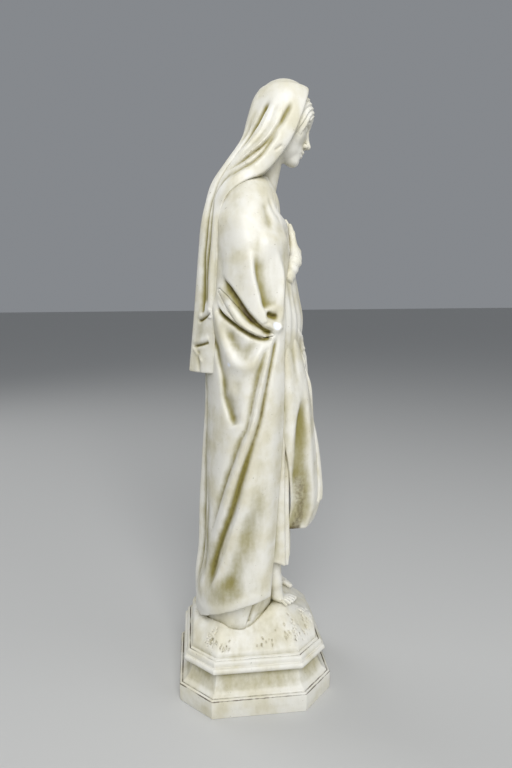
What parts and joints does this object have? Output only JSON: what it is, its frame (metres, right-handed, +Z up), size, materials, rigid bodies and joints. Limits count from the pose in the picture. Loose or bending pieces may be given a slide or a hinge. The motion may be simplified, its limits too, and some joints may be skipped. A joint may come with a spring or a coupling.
{
  "type": "madonna statue",
  "caption": "Standing robed and veiled figure with hands laid on the breast, on a rocky mound over a stepped octagonal base, with iron armature and timber battens inside.",
  "frame": {"origin": "centre of the plinth's underside, on the surface it stands on", "axes": "+Z up, the figure faces -Y, its right hand is at -X"},
  "size_m": [0.196, 0.204, 0.8],
  "materials": {
    "figure_plaster": "satin",
    "base_plaster": "satin",
    "timber": "matte",
    "iron": "matte",
    "hemp_plaster": "matte"
  },
  "bodies": {
    "root": {"plinth": "base_plaster", "mound": "base_plaster", "tunic_skirt": "figure_plaster", "bodice": "figure_plaster", "mantle_skirt": "figure_plaster", "mantle_shoulders": "figure_plaster", "mantle_front": "figure_plaster", "right_sleeve_fold": "figure_plaster", "left_sleeve_fold": "figure_plaster", "veil_hood": "figure_plaster", "veil_fall": "figure_plaster", "head": "figure_plaster", "hair": "figure_plaster", "right_cuff": "figure_plaster", "left_cuff": "figure_plaster", "right_hand": "figure_plaster", "left_hand": "figure_plaster", "right_foot": "figure_plaster", "left_foot": "figure_plaster", "batten_long": "timber", "batten_short": "timber", "armature_rod": "iron", "rod_nut": "iron", "rod_washer": "iron", "shoulder_bar": "iron", "neck_dowel": "iron", "right_wrist_pin": "iron", "left_wrist_pin": "iron", "hemp_wad_lower": "hemp_plaster", "hemp_wad_upper": "hemp_plaster"}
  },
  "joints": []
}
